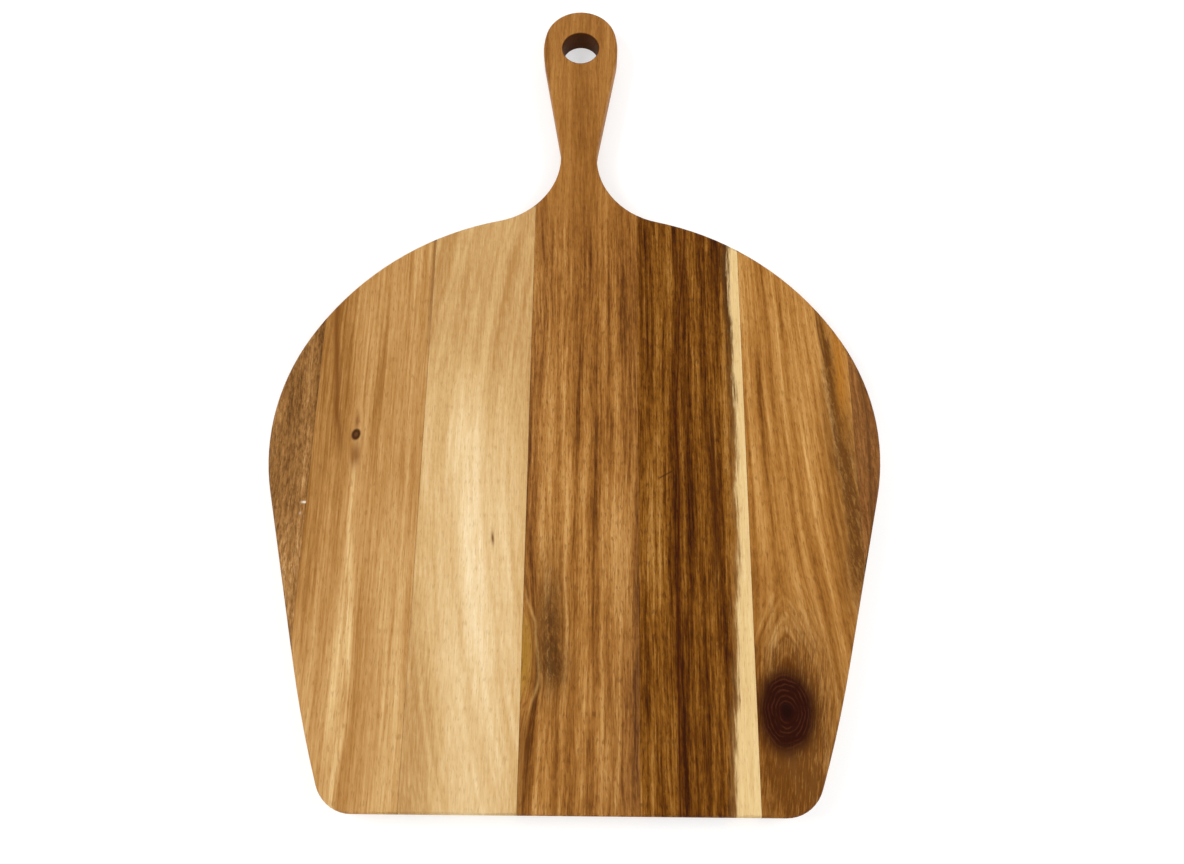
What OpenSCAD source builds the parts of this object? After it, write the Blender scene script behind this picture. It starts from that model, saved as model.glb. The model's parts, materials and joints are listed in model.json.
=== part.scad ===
// Pizza peel: a flat board edge-glued from seven wooden staves, with the handle
// grown out of the middle stave, every edge rounded over and a hanging hole in the handle.
// The board lies flat on Z = 0 with its handle towards +Y.

/* [Board] */
// Overall width, at the widest point of the blade
board_w = 356; // [352:1:362]
// Overall length, from the front edge to the handle's tip
board_l = 510; // [500:1:530]
// Thickness of the board
board_t = 15; // [12:0.5:20]
// Round-over radius of all outer edges
edge_r = 2; // [1:0.5:3]

/* [Blade outline] */
// Radius of the two front corners
corner_r = 21; // [15:1:30]
// Angle that a front corner turns through
corner_sweep = 70.5; // [68:0.5:73]
// Radius of the slightly bowed flank above each corner
flank_r = 650; // [400:10:900]
// Angle of the straight taper from the front edge
taper_angle = 76.2; // [75.5:0.1:78]
// Length of the straight taper
taper_l = 97.5; // [90:0.5:105]
// Radius of the belly, where the blade is widest
belly_r = 130; // [125:1:135]
// Angle that the belly turns through
belly_sweep = 43.7; // [41:0.1:44]
// Radius of the shoulder
shoulder_r = 170; // [165:1:175]
// Angle that the shoulder turns through
shoulder_sweep = 47.8; // [46:0.1:50]

/* [Handle] */
// Angle of the handle's flank, which widens towards the tip
grip_angle = 80.1; // [79:0.1:81]
// Radius of the side of the handle's head
head_side_r = 50; // [45:1:55]
// Angle that the side of the head turns through
head_side_sweep = 25; // [22:0.5:28]
// Radius of the handle's tip
tip_r = 24; // [22:0.5:25]
// Diameter of the hanging hole
hole_d = 24; // [16:0.5:26]
// Distance of the hole's centre from the tip
hole_from_tip = 30.5; // [26:0.5:34]
// Round-over radius of the hole's two rims
hole_rim_r = 1; // [0.5:0.5:2]

/* [Staves] */
// Distance of the first glue seam left of the centre line
first_seam = 152.4; // [151:0.1:156]
// Width of the honey-coloured stave, left of the blond one
honey_w = 64.1; // [62:0.1:65.5]
// Width of the blond stave
blond_w = 61.5; // [60:0.1:63]
// Width of the middle stave, which carries the handle
handle_w = 63.8; // [62:0.1:66]
// Width of the dark walnut-brown stave
walnut_w = 62.6; // [60:0.1:65]
// Width of the knotty stave
knotty_w = 63.5; // [60:0.1:65]
// Thickness of each glue film
glue_t = 0.15; // [0.1:0.05:0.3]
// Depth that each glue film lies below the wood's surface
glue_recess = 0.1; // [0:0.05:0.2]

/* [Hidden] */
$fn = 96;

// Steps in which a round-over turns through its quarter circle.
round_steps = 3;
// Greatest distance that the outline's short straight steps leave the true arc.
arc_tolerance = 0.05;
// Least distance across the board from a seam to the next point of the outline.
seam_gap = 0.5;

// ---- Closing the outline

shoulder_angle = taper_angle + belly_sweep + shoulder_sweep;
head_angle = grip_angle + head_side_sweep;

// Run and rise of an arc that turns from heading a to heading b, and of a straight.
function arc_step(r, a, b) =
    (b > a ? 1 : -1) * r * [sin(b) - sin(a), cos(a) - cos(b)];
function line_step(l, a) = l * [cos(a), sin(a)];

// From the front edge's end up to the widest point, where the heading is 90 degrees.
lower_step = arc_step(corner_r, 0, corner_sweep)
    + arc_step(flank_r, corner_sweep, taper_angle)
    + line_step(taper_l, taper_angle)
    + arc_step(belly_r, taper_angle, 90);

// From the widest point to the tip, without the neck's hollow and the grip's straight.
upper_step = arc_step(belly_r, 90, taper_angle + belly_sweep)
    + arc_step(shoulder_r, taper_angle + belly_sweep, shoulder_angle)
    + arc_step(head_side_r, grip_angle, head_angle)
    + arc_step(tip_r, head_angle, 180);

// The front edge's half, the neck's radius and the grip's length are worked out,
// so that the board comes to exactly board_w by board_l.
front_half = board_w / 2 - lower_step.x;
gap = [-board_w / 2 - upper_step.x, board_l - lower_step.y - upper_step.y];
neck = arc_step(1, shoulder_angle, grip_angle);
grip = line_step(1, grip_angle);
neck_r = (gap.x * grip.y - gap.y * grip.x) / (neck.x * grip.y - neck.y * grip.x);
grip_l = (neck.x * gap.y - neck.y * gap.x) / (neck.x * grip.y - neck.y * grip.x);

// The right half, from the middle of the front edge to the tip: [radius, sweep] is an
// arc that turns left, or right where the sweep is negative, and [0, length] is straight.
// The belly is split at the widest point.
outline = [
    [0, front_half],
    [corner_r, corner_sweep],
    [flank_r, taper_angle - corner_sweep],
    [0, taper_l],
    [belly_r, 90 - taper_angle],
    [belly_r, taper_angle + belly_sweep - 90],
    [shoulder_r, shoulder_sweep],
    [neck_r, grip_angle - shoulder_angle],
    [0, grip_l],
    [head_side_r, head_side_sweep],
    [tip_r, 180 - head_angle]
];
// Number of stretches below the widest point.
lower_count = 5;

// ---- Points of the outline, each [x, y, heading]

// The point that lies a fraction f along stretch s, which starts at point p.
function along(s, p, f) = s[0] == 0
    ? [p.x + f * s[1] * cos(p.z), p.y + f * s[1] * sin(p.z), p.z]
    : let (side = sign(s[1]), h = p.z + f * s[1])
        [p.x + side * s[0] * (sin(h) - sin(p.z)), p.y - side * s[0] * (cos(h) - cos(p.z)), h];

// Where each stretch starts, and where the last one ends.
function walk(i, p) = i == len(outline)
    ? [p]
    : concat([p], walk(i + 1, along(outline[i], p, 1)));
starts = walk(0, [0, -board_l / 2, 0]);

// A point of the outline moved inwards by d.
function inset(p, d) = [p.x - d * sin(p.z), p.y + d * cos(p.z)];

// Steps that a stretch is drawn in.
function steps(s) = s[0] == 0
    ? 1
    : ceil(abs(s[1]) / (2 * acos(1 - arc_tolerance / s[0])));

// All points of the stretches a to b, without the first stretch's start.
function points(a, b) =
    [for (i = [a:b]) let (n = steps(outline[i])) for (k = [1:n]) along(outline[i], starts[i], k / n)];
lower_points = points(0, lower_count - 1);
upper_points = points(lower_count, len(outline) - 1);

// Where the outline moved inwards by d crosses the line x, on stretch i.
function cross_at(i, x, d) =
    let (s = outline[i], p = starts[i], q = inset(p, d))
        s[0] == 0
            ? [x, q.y + (x - q.x) * tan(p.z)]
            : let (side = sign(s[1]), centre = inset(p, side * s[0]), r = s[0] - side * d)
                let (a = asin(side * (x - centre.x) / r))
                [x, centre.y - (i < lower_count ? 1 : -1) * side * r * cos(a)];

// The stretches from i on, until the one that holds the crossing.
function cross_from(i, x, d) =
    let (rising = i < lower_count, end = inset(starts[i + 1], d).x)
        (rising ? end >= x : end <= x) ? cross_at(i, x, d) : cross_from(i + 1, x, d);

// The crossing below (first = 0) or above (first = lower_count) the widest point.
function cross(first, x, d) = let (p = cross_from(first, abs(x), d)) [x, p.y];

// The points that stay clear of both lines, however far the outline moves inwards.
function inside(pts, x0, x1) =
    [for (p = pts) let (a = p.x, b = inset(p, edge_r).x)
        if (min(a, b) > x0 + seam_gap && max(a, b) < x1 - seam_gap) p];
function mirrored(pts) = [for (k = [len(pts) - 1:-1:0]) [-pts[k].x, pts[k].y, -pts[k].z]];

left_lower_points = mirrored(lower_points);
// The tip is in the right half already.
left_upper_points = mirrored([for (k = [0:len(upper_points) - 2]) upper_points[k]]);

// The outline between the lines x0 and x1, moved inwards by d, anticlockwise.
// A line beyond the board's side has no crossing.
function slice(x0, x1, d) =
    let (
        has_left = x0 > -board_w / 2,
        has_right = x1 < board_w / 2,
        low = inside(concat(left_lower_points, lower_points), x0, x1),
        top = inside(concat(upper_points, left_upper_points), x0, x1)
    )
    concat(
        has_left ? [cross(0, x0, d)] : [],
        [for (p = low) inset(p, d)],
        has_right ? [cross(0, x1, d), cross(lower_count, x1, d)] : [],
        [for (p = top) inset(p, d)],
        has_left ? [cross(lower_count, x0, d)] : []
    );

// A quarter round-over of radius r as [distance inwards, height], from the flat face up.
function round_over(r) =
    [for (k = [0:round_steps]) let (a = 90 * k / round_steps) r * [1 - sin(a), 1 - cos(a)]];

// The same at both faces of the board, from bottom to top.
function both_faces(r) = let (low = round_over(r))
    concat(low, [for (k = [round_steps:-1:0]) [low[k].x, board_t - low[k].y]]);

// ---- Board

// Triangles that fill a flat outline of n points p: the edge on the right climbs from
// point i to point top, the one on the left from point j, and whichever is lower goes on.
function fill(p, i, j, top, n) = i == top && j == top
    ? []
    : let (
        up_right = (i + 1) % n,
        up_left = (j + n - 1) % n,
        go_right = j == top || (i != top && p[up_right].y <= p[up_left].y),
        third = go_right ? up_right : up_left
    )
    concat(
        i == j || third == i || third == j ? [] : [[i, third, j]],
        go_right ? fill(p, up_right, j, top, n) : fill(p, i, up_left, top, n)
    );

// The solid between the lines x0 and x1, with its two faces lowered by recess.
module between(x0, x1, recess = 0) {
    section = both_faces(edge_r);
    depth = [for (s = section) [s.y, s.x]];
    rings = [for (s = section) let (z = max(recess, min(board_t - recess, s.y)))
        [for (p = slice(x0, x1, lookup(z, depth))) [p.x, p.y, z]]];
    n = len(rings[0]);
    last = len(rings) - 1;
    heights = [for (p = rings[0]) p.y];
    bottom = search(min(heights), heights)[0];
    top = search(max(heights), heights)[0];
    face = fill(rings[0], bottom, bottom, top, n);
    polyhedron(
        points = [for (r = rings) each r],
        faces = concat(
            face,
            [for (j = [0:last - 1], k = [0:n - 1], half = [0, 1]) let (m = (k + 1) % n)
                half == 0
                    ? [j * n + k, (j + 1) * n + k, (j + 1) * n + m]
                    : [j * n + k, (j + 1) * n + m, j * n + m]],
            [for (f = face) [for (k = [2:-1:0]) last * n + f[k]]]
        )
    );
}

// What the drill and the rounding bit take out of the handle.
module hole_cutter() {
    flare = [for (s = both_faces(hole_rim_r)) [hole_d / 2 + s.x, s.y]];
    mouth = flare[0].x;
    translate([0, board_l / 2 - hole_from_tip, 0])
        rotate_extrude()
            polygon(concat(
                [[0, -1], [mouth, -1]], flare, [[mouth, board_t + 1], [0, board_t + 1]]
            ));
}

// ---- Staves and glue

widths = [honey_w, blond_w, handle_w, walnut_w, knotty_w];
function seam(i) = i == 0 ? -first_seam : seam(i - 1) + widths[i - 1];

// Stave i, counted from the left; the two edge staves run out to the board's sides.
module stave(i) {
    left = i == 0 ? -board_w : seam(i - 1) + glue_t / 2;
    right = i == len(widths) + 1 ? board_w : seam(i) - glue_t / 2;
    between(left, right);
}

module left_edge_stave() { color("sienna") stave(0); }
module honey_stave() { color("peru") stave(1); }
module blond_stave() { color("wheat") stave(2); }
module handle_stave() {
    color("chocolate") difference() {
        stave(3);
        hole_cutter();
    }
}
module walnut_stave() { color("saddlebrown") stave(4); }
module knotty_stave() { color("peru") stave(5); }
module right_edge_stave() { color("sienna") stave(6); }

// Glue film i, counted from the left.
module glue_line(i) {
    color("burlywood") between(seam(i) - glue_t / 2, seam(i) + glue_t / 2, glue_recess);
}

left_edge_stave();
honey_stave();
blond_stave();
handle_stave();
walnut_stave();
knotty_stave();
right_edge_stave();
glue_line(0);  // glue_line_1
glue_line(1);  // glue_line_2
glue_line(2);  // glue_line_3
glue_line(3);  // glue_line_4
glue_line(4);  // glue_line_5
glue_line(5);  // glue_line_6
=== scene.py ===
"""Looks of the pizza peel: seven oiled wooden staves and the glue between them."""

import json
import math

import bpy
from mathutils import Matrix, Vector

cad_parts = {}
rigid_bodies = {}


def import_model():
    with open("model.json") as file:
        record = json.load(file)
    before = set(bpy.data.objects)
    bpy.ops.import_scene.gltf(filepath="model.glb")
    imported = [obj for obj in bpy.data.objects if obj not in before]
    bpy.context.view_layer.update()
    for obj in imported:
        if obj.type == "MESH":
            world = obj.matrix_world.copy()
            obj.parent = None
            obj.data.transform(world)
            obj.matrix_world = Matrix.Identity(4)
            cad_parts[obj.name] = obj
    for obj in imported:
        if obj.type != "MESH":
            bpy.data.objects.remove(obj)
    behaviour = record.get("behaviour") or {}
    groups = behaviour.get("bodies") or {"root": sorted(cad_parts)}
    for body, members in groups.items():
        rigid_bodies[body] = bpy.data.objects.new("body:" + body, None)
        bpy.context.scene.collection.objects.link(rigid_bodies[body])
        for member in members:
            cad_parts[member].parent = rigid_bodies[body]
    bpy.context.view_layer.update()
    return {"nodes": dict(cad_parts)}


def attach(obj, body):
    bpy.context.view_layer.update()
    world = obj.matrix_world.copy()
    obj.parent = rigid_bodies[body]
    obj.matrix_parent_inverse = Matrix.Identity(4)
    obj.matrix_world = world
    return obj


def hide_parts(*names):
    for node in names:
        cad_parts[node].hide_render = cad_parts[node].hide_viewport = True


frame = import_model()

# Meshes, lights and the camera are in metres; the woods' patterns are in millimetres.
MM = 0.001

# The staves' own names, from left to right, and the record's material slots.
STAVES = {
    "left_edge_stave": "grey_brown_wood",
    "honey_stave": "honey_wood",
    "blond_stave": "blond_wood",
    "handle_stave": "golden_brown_wood",
    "walnut_stave": "walnut_brown_wood",
    "knotty_stave": "orange_brown_wood",
    "right_edge_stave": "grey_brown_wood",
}
GLUE_LINES = [f"glue_line_{number}" for number in range(1, 7)]

# The hanging hole's centre on the handle's middle line, and the distances from it at which the
# painted shade of the hole's wall begins and is at its darkest.
HOLE_Y, HOLE_RIM, HOLE_WALL = 224.5, 12.9, 12.2

# Every noise runs from 0 to 1 about this mean.
MEAN = 0.5

# A Mix node's colour sockets go by number, because their names come more than once.
MIX_FACTOR, MIX_BASE, MIX_OVER, MIX_RESULT = 0, 6, 7, 2


# ---- Shader graphs ----------------------------------------------------------------------


class Value:
    """An output socket that does sums: an expression on values adds its Math nodes."""

    def __init__(self, graph, socket):
        self.graph = graph
        self.socket = socket

    def sum(self, operation, *values):
        return self.graph.node("ShaderNodeMath", {"operation": operation}, list(values))

    def __add__(self, other):
        return self.sum("ADD", self, other)

    def __radd__(self, other):
        return self.sum("ADD", other, self)

    def __sub__(self, other):
        return self.sum("SUBTRACT", self, other)

    def __rsub__(self, other):
        return self.sum("SUBTRACT", other, self)

    def __mul__(self, other):
        return self.sum("MULTIPLY", self, other)

    def __rmul__(self, other):
        return self.sum("MULTIPLY", other, self)

    def __truediv__(self, other):
        return self.sum("DIVIDE", self, other)

    def __pow__(self, other):
        return self.sum("POWER", self, other)

    def __neg__(self):
        return self.sum("MULTIPLY", self, -1.0)

    def exp(self):
        return self.sum("EXPONENT", self)

    def sine(self):
        return self.sum("SINE", self)

    def least(self, other):
        return self.sum("MINIMUM", self, other)

    def swing(self, share):
        """How far a noise is from its mean, times a share."""
        return (self - MEAN) * share


class Graph:
    """The node tree of one material, with lengths in millimetres."""

    def __init__(self, name):
        self.material = bpy.data.materials.new(name)
        self.material.use_nodes = True
        self.tree = self.material.node_tree
        self.tree.nodes.clear()
        metres = self.node("ShaderNodeTexCoord", {}, {}, "Object")
        place = self.node(
            "ShaderNodeVectorMath", {"operation": "SCALE"}, {0: metres, "Scale": 1.0 / MM}
        )
        self.x, self.y, self.z = (
            self.node("ShaderNodeSeparateXYZ", {}, [place], axis) for axis in "XYZ"
        )

    def node(self, kind, settings, inputs, output=0):
        """Adds a node: its settings first, then its sockets' values or links."""
        new = self.tree.nodes.new(kind)
        for name, value in settings.items():
            if name == "stops":
                self.set_stops(new.color_ramp, value)
            else:
                setattr(new, name, value)
        pairs = inputs.items() if isinstance(inputs, dict) else enumerate(inputs)
        for key, value in pairs:
            if isinstance(value, Value):
                self.tree.links.new(value.socket, new.inputs[key])
            else:
                new.inputs[key].default_value = value
        return Value(self, new.outputs[output]) if len(new.outputs) else new

    @staticmethod
    def set_stops(ramp, stops):
        for number, (at, colour) in enumerate(stops):
            stop = ramp.elements[number] if number < 2 else ramp.elements.new(at)
            stop.position = at
            stop.color = (*colour, 1.0)

    def vector(self, x, y, z):
        return self.node("ShaderNodeCombineXYZ", {}, [x, y, z])

    def noise(self, x, y, z, detail=2.0, roughness=0.5, distortion=0.0):
        """Noise from 0 to 1 with a mean of a half; x, y and z are in noise cells."""
        return self.node(
            "ShaderNodeTexNoise",
            {"noise_dimensions": "3D", "normalize": True},
            {
                "Vector": self.vector(x, y, z),
                "Scale": 1.0,
                "Detail": detail,
                "Roughness": roughness,
                "Distortion": distortion,
            },
            "Fac",
        )

    def ease(self, value, low, high, to_low=0.0, to_high=1.0):
        """Turns low to high into to_low to to_high, with soft ends."""
        return self.node(
            "ShaderNodeMapRange",
            {"interpolation_type": "SMOOTHSTEP"},
            {
                "Value": value,
                "From Min": low,
                "From Max": high,
                "To Min": to_low,
                "To Max": to_high,
            },
        )

    def bell(self, value, width):
        """1 where the value is 0, falling to about a third at width."""
        return (-((value / width) ** 2.0)).exp()

    def spot(self, x, y, across, along):
        """A soft oval spot centred on the board's point x, y."""
        reach = ((self.x - x) / across) ** 2.0 + ((self.y - y) / along) ** 2.0
        return (-reach).exp()

    def patches(self, level, spots):
        """Level with soft oval spots (x, y, across, along, share), dark if share is below 0."""
        for x, y, across, along, share in spots:
            level = level + self.spot(x, y, across, along) * share
        return level

    def between(self, value, low, high, soft):
        """1 between low and high, with ends that are soft wide."""
        rise = self.ease(value, low - soft, low + soft)
        fall = self.ease(value, high - soft, high + soft, 1.0, 0.0)
        return rise * fall

    def path(self, points):
        """The x of a line that runs through the points (y, x), which go down in y."""
        x = points[0][1]
        for (y0, x0), (y1, x1) in zip(points, points[1:]):
            x = x + self.ease(self.y, y0, y1, 0.0, x1 - x0)
        return x

    def ramp(self, value, stops):
        return self.node("ShaderNodeValToRGB", {"stops": stops}, [value])

    def mix(self, factor, base, over):
        """Colour base with a second colour, plain or a value, laid over it by factor."""
        if isinstance(over, tuple):
            over = (*over, 1.0)
        inputs = {MIX_FACTOR: factor, MIX_BASE: base, MIX_OVER: over}
        return self.node("ShaderNodeMix", {"data_type": "RGBA"}, inputs, MIX_RESULT)

    def surface(self, inputs):
        """Ends the graph in one surface with these inputs."""
        shader = self.node("ShaderNodeBsdfPrincipled", {}, inputs)
        self.node("ShaderNodeOutputMaterial", {}, {"Surface": shader})
        return self.material


# ---- Wood -------------------------------------------------------------------------------


class Wood(Graph):
    """A stave's wood: grain along Y that wanders a little, in three sizes of streak."""

    # How far the grain runs before it sways again, and how far apart two staves' streaks start.
    SWAY_X, SWAY_Y, SWAY_Z, SEED_STEP = 45.0, 110.0, 60.0, 7.3

    # How many times deeper than wide a streak is, how soft a pore's edge and how bent a curl.
    DEEPER, PORE_EDGE, CURL_LEAN = 2.2, 0.09, 0.05

    # The oiled surface: how rough, how shiny and how much its pores can be felt.
    ROUGHNESS, SHEEN, RELIEF, RELIEF_HEIGHT = 0.46, 0.05, 0.25, 0.25 * MM

    def __init__(self, name, seed, wander=2.5):
        super().__init__(name)
        self.seed = seed
        sway = self.noise(self.x / self.SWAY_X, self.y / self.SWAY_Y, self.z / self.SWAY_Z + seed)
        self.across = self.x + sway.swing(2.0 * wander)

    def flow_round(self, x, y, across, along, strength):
        """Turns the grain aside around a knot at x, y."""
        pull = self.spot(x, y, across, along)
        self.across = x + (self.across - x) * (1.0 - strength * pull)

    def streaks(self, width, length, detail=2.0, roughness=0.5, shift=0.0):
        """Streaks of about that width and length, from 0 to 1, that run through the stave."""
        return self.noise(
            self.across / width + (self.seed * self.SEED_STEP + shift),
            self.y / length + shift,
            self.z / (self.DEEPER * width) + self.seed,
            detail,
            roughness,
        )

    def pores(self, width, length, low):
        """Short fine dashes along the grain; a lower low gives more of them."""
        grain = self.noise(
            self.across / width,
            self.y / length + self.seed,
            self.z / width,
            detail=1.0,
            roughness=0.4,
        )
        return self.ease(grain, low, low + self.PORE_EDGE)

    def curl(self, width, length, shift=0.0):
        """Short curly flecks that cross the grain a little, from 0 to 1."""
        return self.noise(
            self.across / width + self.y * self.CURL_LEAN,
            self.y / length + shift,
            self.z / width,
            detail=3.0,
            roughness=0.65,
            distortion=0.6,
        )

    def finish(self, colour, fine, pores):
        """Ends the graph in a satin oiled surface, a little hollow and duller in its pores."""
        height = fine * 0.5 - pores
        relief = {"Strength": self.RELIEF, "Distance": self.RELIEF_HEIGHT, "Height": height}
        return self.surface({
            "Base Color": colour,
            "Roughness": self.ROUGHNESS + fine.swing(0.16) + pores * 0.2,
            "Normal": self.node("ShaderNodeBump", {}, relief),
            "Specular IOR Level": self.SHEEN,
        })


def left_edge_wood():
    wood = Wood("grey brown wood, left", 1.0)
    coarse = wood.streaks(9.0, 160.0)
    middle = wood.streaks(2.2, 50.0, detail=3.0, roughness=0.6)
    fine = wood.streaks(0.8, 9.0, roughness=0.65)
    curl = wood.curl(1.5, 4.0)
    pores = wood.pores(0.7, 3.6, low=0.56)

    level = 0.52 + coarse.swing(0.8) + middle.swing(0.9) + fine.swing(0.8) + curl.swing(0.8)
    level = level + wood.ease(wood.y, -80.0, -160.0, 0.0, 0.22)
    colour = wood.ramp(level, [
        (0.15, (0.085, 0.034, 0.008)), (0.45, (0.215, 0.094, 0.023)),
        (0.75, (0.36, 0.178, 0.055)), (1.0, (0.52, 0.30, 0.125)),
    ])
    colour = wood.mix(pores * 0.45, colour, (0.085, 0.034, 0.009))

    # A pale chip by the seam, with a crumb beside it.
    chip = wood.spot(-153.5, -90.6, 1.5, 0.6) + wood.spot(-155.3, -97.0, 0.6, 0.8) * 0.25
    colour = wood.mix(chip, colour, (0.85, 0.76, 0.62))
    return wood.finish(colour, fine, pores)


def honey_wood():
    wood = Wood("honey wood", 2.0, wander=2.0)
    wood.flow_round(-127.4, -49.7, 4.5, 13.0, 0.75)
    coarse = wood.streaks(9.0, 260.0)
    middle = wood.streaks(2.4, 120.0, detail=3.0, roughness=0.6)
    fine = wood.streaks(0.9, 30.0, roughness=0.65)
    curl = wood.curl(2.0, 7.0)
    pores = wood.pores(0.75, 5.5, low=0.585)

    # Paler to the front right, darker down the left side.
    level = 0.46 + coarse.swing(0.75) + middle.swing(0.65) + fine.swing(0.6) + curl.swing(0.3)
    level = level + wood.ease(wood.y, -60.0, -140.0) * wood.ease(wood.x, -118.0, -98.0) * 0.24
    level = wood.patches(level, [
        (-114.0, -15.0, 9.0, 60.0, -0.16), (-133.0, 25.0, 9.0, 30.0, 0.14),
    ])
    shade = wood.bell(wood.x + 147.0, 14.0) * wood.ease(wood.y, -190.0, -110.0)
    level = level - shade * 0.26 + wood.spot(-127.5, -185.0, 8.5, 75.0) * 0.3

    # A broken pale streak runs from the knot to the front.
    pale_x = wood.path([
        (-55.0, -128.0), (-100.0, -127.0), (-145.0, -123.0), (-200.0, -118.5), (-243.0, -123.0),
    ])
    pale = wood.bell(wood.x - pale_x, 2.0) * wood.ease(wood.y, -50.0, -75.0)
    broken = wood.ease(wood.streaks(1.5, 30.0, shift=4.0), 0.3, 0.6)
    level = level + pale * broken * 0.3
    colour = wood.ramp(level, [
        (0.12, (0.245, 0.100, 0.018)), (0.40, (0.405, 0.198, 0.056)),
        (0.66, (0.53, 0.305, 0.112)), (1.0, (0.72, 0.50, 0.235)),
    ])

    # A dark band runs down from the shoulder and fades beside the knot, and the right seam is
    # darker near the handle.
    band_x = wood.path([
        (45.0, -150.5), (29.0, -145.8), (-29.0, -141.0), (-54.0, -136.8), (-80.0, -134.0),
    ])
    band = wood.bell(wood.x - band_x, 1.6) * wood.ease(wood.y, -75.0, -35.0)
    colour = wood.mix(band * 0.85, colour, (0.165, 0.056, 0.008))
    seam_shade = wood.bell(wood.x + 89.0, 1.2) * wood.ease(wood.y, -20.0, 45.0)
    colour = wood.mix(seam_shade * 0.7, colour, (0.19, 0.072, 0.012))

    # The small knot: a tail before and behind, a leaning dark oval and a lighter heart.
    tail = wood.spot(-127.0, -62.0, 3.0, 8.0) + wood.spot(-127.6, -41.5, 1.3, 5.0)
    colour = wood.mix((tail * 0.8).least(0.8), colour, (0.19, 0.064, 0.010))
    lean = (wood.y + 49.7) * 0.08
    knot = (((wood.x + 127.5 - lean) / 2.5) ** 2.0 + ((wood.y + 49.9) / 3.3) ** 2.0) ** 0.5
    colour = wood.mix(wood.ease(knot, 1.3, 0.8), colour, (0.060, 0.020, 0.005))
    colour = wood.mix(wood.ease(knot, 0.5, 0.3) * 0.5, colour, (0.14, 0.058, 0.018))
    colour = wood.mix(pores * 0.28, colour, (0.19, 0.078, 0.015))
    return wood.finish(colour, fine, pores)


def blond_wood():
    wood = Wood("blond wood", 3.0, wander=3.0)

    # The wider streaks bow to the right at both ends; the fine ones run straight.
    straight = wood.across
    wood.across = wood.across - (wood.y + 60.0) ** 2.0 * 0.00075
    coarse = wood.streaks(8.0, 200.0, roughness=0.45)
    middle = wood.streaks(3.0, 80.0, detail=3.0)
    wood.across = straight
    fine = wood.streaks(0.9, 18.0, roughness=0.65)
    curl = wood.curl(2.2, 5.0)
    pores = wood.pores(0.6, 5.0, low=0.60)

    # A painted highlight runs along the stave, with a paler band to its right.
    painted_glare_x = wood.path([
        (60.0, -52.0), (0.0, -58.0), (-90.0, -59.0), (-160.0, -57.0), (-225.0, -46.0),
    ])
    painted_glare = wood.bell(wood.x - painted_glare_x, 18.0) * wood.ease(wood.y, 10.0, -60.0)
    painted_glare = painted_glare * wood.ease(wood.y, -235.0, -170.0, 0.35, 1.0)
    band = wood.between(wood.x, -60.0, -32.0, 10.0) * wood.ease(wood.y, -30.0, -110.0)
    level = 0.40 + coarse.swing(0.6) + middle.swing(0.42) + fine.swing(0.5) + curl.swing(0.28)
    level = level + painted_glare * 0.2 + band * 0.12

    # Darker towards the handle and in the front left corner.
    level = level - wood.ease(wood.y, -70.0, 60.0, 0.0, 0.17)
    level = level - wood.spot(-40.0, 10.0, 10.0, 45.0) * 0.1
    level = level - wood.ease(wood.x, -66.0, -84.0) * wood.ease(wood.y, -120.0, -220.0) * 0.16
    colour = wood.ramp(level, [
        (0.08, (0.40, 0.205, 0.063)), (0.4, (0.575, 0.365, 0.152)),
        (0.66, (0.70, 0.50, 0.255)), (1.0, (0.85, 0.70, 0.45)),
    ])

    # One short dark slit in the grain.
    slit_x = wood.x + 45.2 + (wood.y + 110.0) * 0.1
    slit = wood.bell(slit_x, 0.8) * wood.bell(wood.y + 110.5, 3.6)
    colour = wood.mix(slit, colour, (0.155, 0.065, 0.020))
    colour = wood.mix(pores * 0.26, colour, (0.30, 0.155, 0.050))
    return wood.finish(colour, fine, pores)


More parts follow.
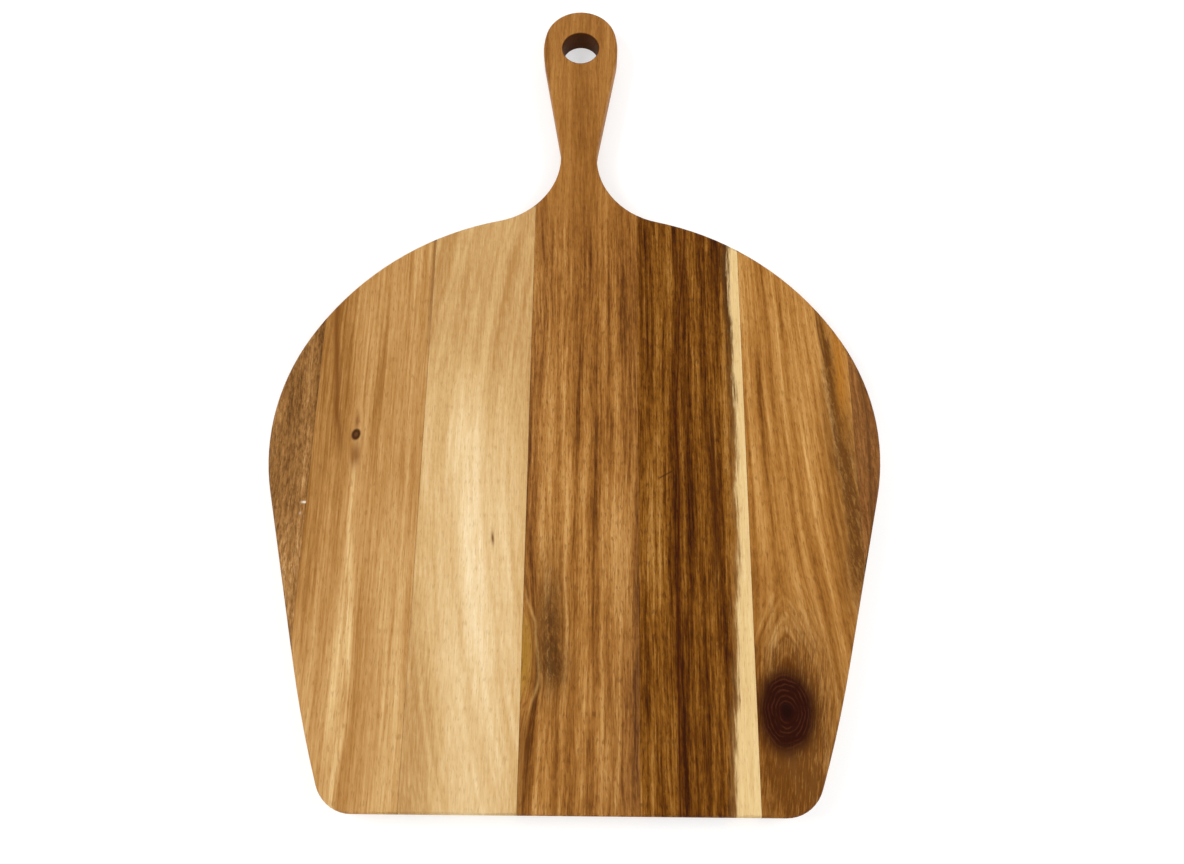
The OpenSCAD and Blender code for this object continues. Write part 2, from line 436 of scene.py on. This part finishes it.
def handle_wood():
    wood = Wood("golden brown wood", 4.0, wander=3.0)
    wood.flow_round(-33.0, -174.0, 15.0, 30.0, 0.9)
    wood.flow_round(-9.5, -160.0, 7.0, 24.0, 0.6)
    coarse = wood.streaks(8.0, 240.0, roughness=0.55)
    middle = wood.streaks(2.3, 70.0, detail=3.0, roughness=0.65)
    fine = wood.streaks(0.8, 16.0, roughness=0.65)
    curl = wood.curl(1.8, 5.5)
    pores = wood.pores(0.75, 4.5, low=0.575)

    # The grip is calmer than the blade.
    calm = wood.ease(wood.y, 60.0, 120.0)
    level = 0.5 + (coarse.swing(1.3) + middle.swing(0.95)) * (1.0 - calm * 0.6)
    level = level + (fine.swing(0.8) + curl.swing(0.4)) * (1.0 - calm * 0.4)
    level = level + wood.spot(23.0, -118.0, 9.0, 48.0) * 0.2

    # Shade along the right seam and up the middle, then soft patches, light and dark.
    shade = wood.bell(wood.x - 36.0, 9.0) * wood.ease(wood.y, 110.0, 60.0)
    shade = shade * (1.0 - wood.bell(wood.y + 120.0, 45.0))
    middle_shade = wood.bell(wood.x - 3.0, 2.2) * wood.bell(wood.y + 25.0, 60.0)
    level = level - shade * 0.16 - middle_shade * 0.2
    level = wood.patches(level, [
        (17.0, -215.0, 15.0, 45.0, 0.14), (20.0, 65.0, 5.0, 35.0, -0.14),
        (-20.0, -70.0, 6.0, 60.0, 0.08), (26.0, -120.0, 10.0, 50.0, 0.08),
    ])
    colour = wood.ramp(level, [
        (0.12, (0.092, 0.028, 0.004)), (0.4, (0.248, 0.094, 0.016)),
        (0.62, (0.37, 0.164, 0.037)), (0.95, (0.55, 0.30, 0.098)),
    ])

    # A golden lens by the left seam, with a bright line down its right side.
    lens = wood.spot(-28.5, -174.0, 8.5, 27.0)
    lens = wood.ease(lens, 0.28, 0.75) * (0.45 + fine * 0.5)
    colour = wood.mix(lens, colour, (0.36, 0.185, 0.024))
    bright_x = wood.path([
        (-140.0, -25.5), (-160.0, -19.5), (-185.0, -17.0), (-205.0, -22.0), (-215.0, -26.0),
    ])
    bright = wood.bell(wood.x - bright_x, 0.9) * wood.between(wood.y, -200.0, -142.0, 9.0)
    colour = wood.mix(bright * 0.6, colour, (0.52, 0.29, 0.085))
    colour = wood.mix(pores * (0.42 - calm * 0.22), colour, (0.105, 0.036, 0.006))

    # A smoky knot to the right of the lens, and a dark foot in front of it.
    smoke = wood.spot(-12.0, -158.0, 7.5, 31.0) + wood.spot(-8.0, -181.0, 8.0, 12.0) * 0.7
    smoke = smoke * wood.ease(wood.curl(1.3, 3.5, 5.0), 0.25, 0.6, 0.4, 1.0)
    colour = wood.mix(smoke.least(1.0) * 0.86, colour, (0.070, 0.025, 0.005))
    foot_x = wood.x + 25.0 - (wood.y + 205.0) * 0.06
    foot = wood.bell(foot_x, 5.5) * wood.ease(wood.y, -198.0, -214.0)
    colour = wood.mix(foot * 0.5, colour, (0.12, 0.042, 0.006))

    # Painted shade: the hanging hole's wall and the edge of its rim are painted dark brown.
    from_hole = (wood.x**2.0 + (wood.y - HOLE_Y) ** 2.0) ** 0.5
    hole_painted_shade = wood.ease(from_hole, HOLE_RIM, HOLE_WALL)
    colour = wood.mix(hole_painted_shade * 0.95, colour, (0.050, 0.013, 0.002))
    return wood.finish(colour, fine, pores)


def walnut_wood():
    wood = Wood("walnut brown wood", 5.0)
    coarse = wood.streaks(6.0, 260.0)
    middle = wood.streaks(1.9, 70.0, detail=3.0, roughness=0.65)
    fine = wood.streaks(0.8, 16.0, roughness=0.65)
    curl = wood.curl(1.8, 5.5)
    pores = wood.pores(0.75, 4.5, low=0.575)

    level = 0.42 + coarse.swing(1.1) + middle.swing(1.0) + fine.swing(0.8) + curl.swing(0.5)
    level = level + wood.spot(43.0, -105.0, 9.0, 45.0) * 0.3
    level = level + wood.ease(wood.x, 64.0, 56.0) * 0.1
    level = wood.patches(level, [
        (50.0, 0.0, 7.0, 85.0, -0.14), (50.0, -185.0, 8.0, 22.0, -0.1),
        (85.0, -15.0, 5.0, 60.0, 0.16),
    ])
    level = level - wood.bell(wood.x - 80.0, 4.0) * wood.ease(wood.y, -140.0, -80.0) * 0.06
    level = level + wood.spot(66.0, -150.0, 7.0, 30.0) * 0.18
    colour = wood.ramp(level, [
        (0.1, (0.036, 0.0075, 0.001)), (0.38, (0.118, 0.036, 0.002)),
        (0.62, (0.232, 0.088, 0.010)), (0.95, (0.42, 0.205, 0.050)),
    ])

    # A sharp dark vein the length of the blade, a softer one to its right and a scratch.
    vein_x = wood.path([
        (85.0, 66.8), (11.0, 61.9), (-39.0, 59.3), (-76.0, 60.3), (-144.0, 58.4), (-255.0, 57.6),
    ])
    vein = wood.bell(wood.x - vein_x, 0.55) * 0.75 + wood.bell(wood.x - vein_x - 1.4, 2.6) * 0.1
    colour = wood.mix(vein, colour, (0.046, 0.007, 0.001))
    second_x = wood.path([(-20.0, 78.5), (-51.0, 80.1), (-110.0, 80.6), (-150.0, 79.0)])
    second = wood.bell(wood.x - second_x, 1.8) * wood.between(wood.y, -135.0, -35.0, 18.0)
    colour = wood.mix(second * 0.7, colour, (0.045, 0.009, 0.001))
    scratch_y = wood.y + 72.6 - (wood.x - 52.7) * 0.56
    scratch = wood.bell(scratch_y, 0.6) * wood.between(wood.x, 49.0, 56.5, 0.8)
    colour = wood.mix(scratch * 0.75, colour, (0.045, 0.014, 0.003))
    colour = wood.mix(pores * 0.42, colour, (0.038, 0.010, 0.002))

    # Cream sapwood along the right seam: bristly, with a grey or tan border.
    bristle = wood.noise(wood.x / 1.1, wood.y / 14.0, wood.z / 4.0, detail=3.0, roughness=0.7)
    bristle = bristle.swing(7.0)
    sway = wood.noise(wood.x / 9.0, wood.y / 16.0, wood.z / 20.0 + 2.0).swing(4.5)
    edge = wood.path([
        (64.0, 93.2), (12.0, 94.0), (-27.0, 94.0), (-95.0, 93.4), (-180.0, 89.8), (-246.0, 86.4),
    ])
    reach = wood.x - edge + bristle + sway
    grey = wood.between(wood.x - edge + sway, -3.4, 0.2, 1.8) * wood.ease(wood.y, -60.0, 30.0)
    colour = wood.mix(grey * 0.6, colour, (0.070, 0.032, 0.010))
    tan = wood.ease(reach, -5.0, 0.6) * wood.ease(wood.y, 20.0, -60.0)
    colour = wood.mix(tan * 0.55, colour, (0.34, 0.175, 0.052))
    cream = wood.ramp(
        0.5 + middle.swing(0.6) + fine.swing(0.6) - pores * 0.15,
        [(0.2, (0.58, 0.37, 0.150)), (0.8, (0.80, 0.61, 0.305))],
    )
    colour = wood.mix(wood.ease(reach, -1.3, 2.2), colour, cream)
    return wood.finish(colour, fine, pores)


def knotty_wood():
    wood = Wood("orange brown wood", 6.0, wander=2.0)

    # The grain leans, fans out from fan_x and closes in round the big knot.
    lean, fan, fan_x = 0.02, 0.0016, 100.0
    knot_x, knot_y = 115.4, -202.0
    wood.across = wood.across + wood.y * (lean + (wood.x - fan_x) * fan)
    knot_line = knot_x + knot_y * (lean + (knot_x - fan_x) * fan)
    pull = wood.spot(knot_x, -196.0, 21.0, 46.0)
    wood.across = knot_line + (wood.across - knot_line) * (1.0 - 0.93 * pull)
    coarse = wood.streaks(7.0, 260.0)
    middle = wood.streaks(2.1, 80.0, detail=3.0, roughness=0.62)
    fine = wood.streaks(0.85, 18.0, roughness=0.65)
    curl = wood.curl(2.0, 6.0)
    pores = wood.pores(0.75, 4.8, low=0.58)

    # Soft patches, and flames that arch over the knot.
    level = 0.51 + coarse.swing(1.2) + middle.swing(0.85) + fine.swing(0.55) + curl.swing(0.4)
    level = wood.patches(level, [
        (139.0, -5.0, 8.0, 55.0, 0.14), (139.0, -140.0, 8.0, 45.0, -0.16),
        (120.0, 15.0, 5.0, 60.0, 0.1), (109.5, -15.0, 3.0, 32.0, -0.22),
        (108.0, -98.0, 5.0, 35.0, 0.18), (130.0, -45.0, 5.0, 42.0, -0.1),
    ])
    arch = wood.y * 0.85 + ((wood.x - 117.0) ** 2.0 + 14.0) ** 0.5 * 1.9
    flame = wood.noise(arch / 5.0, wood.x / 30.0, wood.z / 14.0, detail=3.0, roughness=0.6)
    level = level + (flame - 0.42) * wood.spot(117.0, -160.0, 17.0, 19.0) * 1.7
    colour = wood.ramp(level, [
        (0.12, (0.138, 0.044, 0.005)), (0.42, (0.325, 0.134, 0.024)),
        (0.64, (0.435, 0.205, 0.050)), (0.96, (0.60, 0.335, 0.110)),
    ])

    # A dark line wanders down the right side and widens to the front.
    line = wood.path([
        (45.0, 145.5), (25.0, 148.6), (-13.0, 152.5), (-57.0, 156.0), (-98.0, 160.0),
        (-135.0, 158.5),
    ])
    wobble = wood.streaks(2.4, 30.0, detail=3.0, roughness=0.6, shift=9.0).swing(8.0)
    width = wood.ease(wood.y, 30.0, -60.0, 1.6, 8.0)
    dark = wood.bell((wood.x - line + wobble) / width, 1.0) * wood.ease(wood.y, 60.0, 10.0)
    dark = dark * wood.ease(wood.y, -170.0, -120.0)
    flecks = wood.ease(wood.curl(1.2, 5.0, 7.0), 0.25, 0.7, 0.45, 1.0)
    dark = dark * (flecks + fine.swing(0.6))
    colour = wood.mix((dark * 1.1).least(0.9), colour, (0.092, 0.030, 0.004))
    thin = wood.bell(wood.x - line + 2.5, 0.6) * wood.between(wood.y, 0.0, 32.0, 8.0)
    colour = wood.mix(thin * 0.75, colour, (0.075, 0.028, 0.006))
    orange = wood.spot(157.5, -12.0, 3.2, 26.0) * wood.ease(curl, 0.3, 0.55, 0.4, 1.0)
    colour = wood.mix(orange * 0.7, colour, (0.44, 0.165, 0.016))

    # A streaky dark halo round the knot and on to the front edge.
    halo = wood.spot(119.0, -197.0, 22.0, 38.0) * 1.35 + wood.spot(118.0, -240.0, 22.0, 24.0)
    grain_x = (wood.x - wood.y * 0.12) / 0.9
    grain = wood.noise(grain_x, wood.y / 13.0, wood.z / 3.0, detail=3.0, roughness=0.7)
    halo = (halo * (0.22 + wood.ease(grain, 0.3, 0.7) * 1.1 + middle * 0.3)).least(1.0)
    colour = wood.mix(halo * 0.88, colour, (0.104, 0.030, 0.002))
    colour = wood.mix(pores * 0.32, colour, (0.115, 0.036, 0.005))

    # The big knot: near black, with broken rings and a blacker heart.
    swirl_z = wood.z / 20.0 + 3.0
    swirl = wood.noise(wood.x / 8.0, wood.y / 8.0, swirl_z, roughness=0.55) - MEAN
    knot = ((wood.x - 115.3) / 15.8) ** 2.0 + ((wood.y - knot_y) / 22.0) ** 2.0
    knot = knot**0.5 + swirl * 0.13
    colour = wood.mix(wood.ease(knot, 1.3, 0.7) * 0.97, colour, (0.019, 0.0018, 0.0005))
    turn = knot * 54.0 + swirl * 3.0
    rings = wood.ease(turn.sine(), 0.0, 1.0) * wood.between(knot, 0.2, 0.95, 0.16)
    broken = wood.ease(wood.noise(wood.x / 7.0, wood.y / 7.0, wood.z / 9.0), 0.36, 0.62)
    colour = wood.mix(rings * broken * 0.38, colour, (0.095, 0.026, 0.009))
    colour = wood.mix(wood.ease(knot, 0.26, 0.1) * 0.85, colour, (0.012, 0.002, 0.001))
    return wood.finish(colour, fine, pores)


def right_edge_wood():
    wood = Wood("grey brown wood, right", 7.0)
    wood.across = wood.across + wood.y * 0.06
    coarse = wood.streaks(7.0, 160.0)
    middle = wood.streaks(2.2, 60.0, detail=3.0, roughness=0.6)
    fine = wood.streaks(0.8, 9.0, roughness=0.65)
    curl = wood.curl(1.5, 4.0)
    pores = wood.pores(0.7, 3.6, low=0.56)

    level = 0.5 + coarse.swing(0.7) + middle.swing(0.9) + fine.swing(0.7) + curl.swing(0.6)
    colour = wood.ramp(level, [
        (0.15, (0.088, 0.029, 0.006)), (0.45, (0.205, 0.078, 0.018)),
        (0.75, (0.31, 0.135, 0.038)), (1.0, (0.43, 0.22, 0.080)),
    ])

    # One thin dark line near the seam.
    line = wood.bell(wood.x - wood.path([(10.0, 168.0), (-40.0, 171.5), (-110.0, 169.0)]), 1.0)
    colour = wood.mix(line * 0.6, colour, (0.065, 0.024, 0.006))
    colour = wood.mix(pores * 0.4, colour, (0.09, 0.038, 0.012))
    return wood.finish(colour, fine, pores)


def glue_film():
    glue = Graph("dried glue")
    speckle = glue.noise(glue.x / 0.6, glue.y / 2.5, glue.z / 0.8, detail=3.0, roughness=0.6)
    return glue.surface({
        "Base Color": glue.ramp(speckle, [(0.3, (0.10, 0.045, 0.016)), (0.7, (0.24, 0.13, 0.055))]),
        "Roughness": 0.5 + speckle * 0.3,
        "Specular IOR Level": 0.3,
    })


WOODS = {
    "left_edge_stave": left_edge_wood,
    "honey_stave": honey_wood,
    "blond_stave": blond_wood,
    "handle_stave": handle_wood,
    "walnut_stave": walnut_wood,
    "knotty_stave": knotty_wood,
    "right_edge_stave": right_edge_wood,
}


# ---- Pieces -----------------------------------------------------------------------------

SAME_POINT = 0.002 * MM
EDGE_ANGLE = math.radians(40.0)


def only(piece):
    """Makes a piece the active object and the only selected one."""
    bpy.ops.object.select_all(action="DESELECT")
    piece.select_set(True)
    bpy.context.view_layer.objects.active = piece


def sanded(node):
    """A sanded copy of a stave: its loose facets merged and its round-overs smooth."""
    only(frame["nodes"][node])
    bpy.ops.object.duplicate()
    piece = bpy.context.view_layer.objects.active
    piece.name = "sanded_" + node
    bpy.ops.object.parent_clear(type="CLEAR_KEEP_TRANSFORM")
    bpy.ops.object.mode_set(mode="EDIT")
    bpy.ops.mesh.select_all(action="SELECT")
    bpy.ops.mesh.remove_doubles(threshold=SAME_POINT)
    bpy.ops.object.mode_set(mode="OBJECT")
    bpy.ops.object.shade_smooth_by_angle(angle=EDGE_ANGLE)
    weighted = piece.modifiers.new("flat faces stay flat", "WEIGHTED_NORMAL")
    weighted.keep_sharp = True
    weighted.weight = 100
    bpy.ops.object.modifier_apply(modifier=weighted.name)
    piece.data.materials.clear()
    piece.data.materials.append(WOODS[node]())
    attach(piece, "root")
    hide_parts(node)


for stave in STAVES:
    sanded(stave)
glue_material = glue_film()
for line in GLUE_LINES:
    frame["nodes"][line].material_slots[0].material = glue_material


# ---- Studio -----------------------------------------------------------------------------

WHITE = (1.0, 1.0, 1.0, 1.0)
LAMP_WHITE = (1.0, 0.985, 0.965)
MIDDLE = Vector((0.0, 0.0, 0.0))

# Each softbox's place, the side of its square and its power.
SOFTBOXES = {
    "softbox_left": ((-1.6, 0.3, 1.15), 1.2, 27.0),
    "softbox_right": ((1.6, 0.1, 1.15), 1.2, 22.0),
    "softbox_front": ((0.0, -2.2, 1.4), 1.4, 22.0),
    "softbox_back": ((0.0, 2.4, 1.0), 1.6, 18.0),
}


def floor():
    """White paper, a hair below the peel."""
    bpy.ops.object.select_all(action="DESELECT")
    bpy.ops.mesh.primitive_plane_add(size=12.0, location=(0.0, 0.0, -0.2 * MM))
    ground = bpy.context.object
    ground.name = "studio_floor"
    paper = Graph("white paper")
    cloud = paper.noise(paper.x / 400.0, paper.y / 400.0, 0.0)
    ground.data.materials.append(paper.surface({
        "Base Color": paper.ramp(cloud, [(0.0, (0.50, 0.50, 0.50)), (1.0, (0.52, 0.52, 0.52))]),
        "Roughness": 0.9,
        "Specular IOR Level": 0.0,
        "Emission Color": WHITE,
        "Emission Strength": 0.55,
    }))


def softbox(name, place, size, power):
    """A square area light at a place, turned to the middle of the floor."""
    lamp = bpy.data.lights.new(name, "AREA")
    lamp.shape = "SQUARE"
    lamp.size = size
    lamp.energy = power
    lamp.color = LAMP_WHITE
    holder = bpy.data.objects.new(name, lamp)
    bpy.context.collection.objects.link(holder)
    holder.location = place
    aim = MIDDLE - Vector(place)
    holder.rotation_euler = aim.to_track_quat("-Z", "Y").to_euler()


def world():
    sky = bpy.data.worlds.new("soft white room")
    sky.use_nodes = True
    light = sky.node_tree.nodes["Background"]
    light.inputs["Color"].default_value = WHITE
    light.inputs["Strength"].default_value = 0.32
    bpy.context.scene.world = sky


def camera():
    """Looks down from above the front of the blade, tilted a little towards the handle."""
    tilt, yaw, roll = math.radians(17.479), math.radians(0.594), math.radians(-0.069)
    turn = Matrix.Rotation(yaw, 3, "Z")
    forward = turn @ Vector((0.0, math.sin(tilt), -math.cos(tilt)))
    up = turn @ Vector((0.0, math.cos(tilt), math.sin(tilt)))
    right = turn @ Vector((1.0, 0.0, 0.0))
    side = math.cos(roll) * right + math.sin(roll) * up
    top = math.cos(roll) * up - math.sin(roll) * right
    lens = bpy.data.cameras.new("camera")
    lens.sensor_fit = "HORIZONTAL"
    lens.sensor_width = 36.0
    lens.lens = 27.365
    lens.clip_start = 0.01
    eye = bpy.data.objects.new("camera", lens)
    bpy.context.collection.objects.link(eye)
    placed = Matrix((side, top, -forward)).transposed().to_4x4()
    placed.translation = Vector((11.83, -205.12, 516.43)) * MM
    eye.matrix_world = placed
    bpy.context.scene.camera = eye


floor()
world()
for softbox_name, (softbox_place, softbox_size, softbox_power) in SOFTBOXES.items():
    softbox(softbox_name, softbox_place, softbox_size, softbox_power)
camera()
bpy.context.scene.view_settings.view_transform = "Standard"
